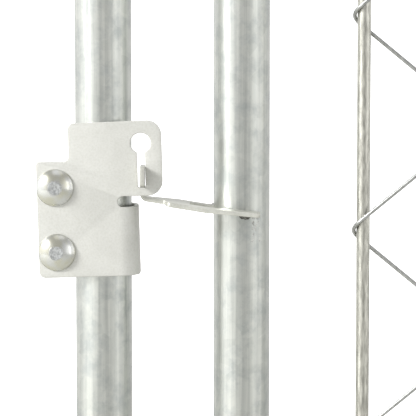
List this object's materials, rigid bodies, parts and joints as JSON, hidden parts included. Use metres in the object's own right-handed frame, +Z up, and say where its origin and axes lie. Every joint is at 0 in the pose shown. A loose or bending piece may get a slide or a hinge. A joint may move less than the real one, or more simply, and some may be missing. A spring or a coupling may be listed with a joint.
{
  "type": "wire mesh panel gate",
  "caption": "Tube-framed gate panel for an animal run: a hinged leaf with chain-link infill, a clamped latch plate with a keyhole, and a welded strike.",
  "frame": {"origin": "on the ground under the latch post's axis", "axes": "+X along the gate from the latch post to the hinge post, +Y to the side that the leaf opens to, +Z up"},
  "size_m": [0.9399, 0.0391, 1.3596],
  "materials": {
    "galvanised_tube": "hot-dip galvanised, drawn streaks and faint spangle",
    "zinc_sheet": "pressed steel sheet, matt zinc plate",
    "bright_zinc": "bright zinc plate",
    "galvanised_wire": "drawn galvanised wire",
    "galvanised_rod": "galvanised bar",
    "weld_metal": "weld bead under cold galvanising paint",
    "grey_plastic": "moulded polyethylene"
  },
  "bodies": {
    "frame": {"latch_post": "galvanised_tube", "hinge_post": "galvanised_tube", "frame_top_rail": "galvanised_tube", "frame_bottom_rail": "galvanised_tube", "frame_welds": "weld_metal", "post_feet": "grey_plastic", "post_caps": "zinc_sheet", "latch_plate": "zinc_sheet", "latch_bolts": "bright_zinc", "latch_nuts": "bright_zinc", "lower_hinge_clamp": "zinc_sheet", "upper_hinge_clamp": "zinc_sheet", "hinge_bolts": "bright_zinc", "hinge_nuts": "bright_zinc"},
    "leaf": {"bottom_tie_wires": "galvanised_wire", "hinge_pin_welds": "weld_metal", "hinge_side_tension_rod": "galvanised_rod", "hinge_stile": "galvanised_tube", "hinge_washers": "bright_zinc", "latch_side_tension_rod": "galvanised_rod", "latch_stile": "galvanised_tube", "leaf_bottom_rail": "galvanised_tube", "leaf_top_rail": "galvanised_tube", "leaf_welds": "weld_metal", "lower_hinge_pin": "galvanised_rod", "mesh_wire_01": "galvanised_wire", "mesh_wire_02": "galvanised_wire", "mesh_wire_03": "galvanised_wire", "mesh_wire_04": "galvanised_wire", "mesh_wire_05": "galvanised_wire", "mesh_wire_06": "galvanised_wire", "mesh_wire_07": "galvanised_wire", "mesh_wire_08": "galvanised_wire", "mesh_wire_09": "galvanised_wire", "mesh_wire_10": "galvanised_wire", "mesh_wire_11": "galvanised_wire", "mesh_wire_12": "galvanised_wire", "mesh_wire_13": "galvanised_wire", "rod_welds": "weld_metal", "stile_plugs": "grey_plastic", "strike": "zinc_sheet", "strike_welds": "weld_metal", "top_tie_wires": "galvanised_wire", "upper_hinge_pin": "galvanised_rod"}
  },
  "joints": [
    {"name": "leaf_swing", "type": "hinge", "parent": "frame", "child": "leaf", "pos_m": [0.8518, 0.0084, 0.68], "axis": [0, 0, -1], "range_deg": [0, 110]}
  ]
}
